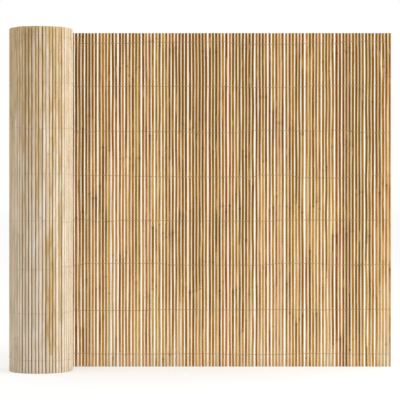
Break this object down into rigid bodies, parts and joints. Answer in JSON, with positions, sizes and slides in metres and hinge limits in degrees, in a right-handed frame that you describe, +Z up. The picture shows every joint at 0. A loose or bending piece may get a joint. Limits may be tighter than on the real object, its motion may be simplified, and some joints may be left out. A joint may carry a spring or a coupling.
{
  "type": "bamboo fence panel",
  "caption": "Garden fence panel of upright split bamboo slats bound by level rows of wire, standing on end, partly unrolled with the rest still wound in a roll.",
  "frame": {"origin": "bottom centre of the whole panel, on the floor that its slats stand on", "axes": "+X along the flat run, from the roll to the free edge; +Y from the skin side that faces the viewer to the pith side behind; +Z up along the slats"},
  "size_m": [1.1342, 0.1914, 1],
  "materials": {
    "slats": "bamboo skin side, amber brown, satin",
    "rolled_slats": "bamboo pith side, pale straw, matt",
    "wire": "dull galvanised"
  },
  "bodies": {
    "root": {"flat_run_slats": "slats", "rolled_mat": "rolled_slats", "front_wire_1": "wire", "front_wire_2": "wire", "front_wire_3": "wire", "front_wire_4": "wire", "front_wire_5": "wire", "front_wire_6": "wire", "front_wire_7": "wire", "front_wire_8": "wire", "back_wire_1": "wire", "back_wire_2": "wire", "back_wire_3": "wire", "back_wire_4": "wire", "back_wire_5": "wire", "back_wire_6": "wire", "back_wire_7": "wire", "back_wire_8": "wire"}
  },
  "joints": []
}
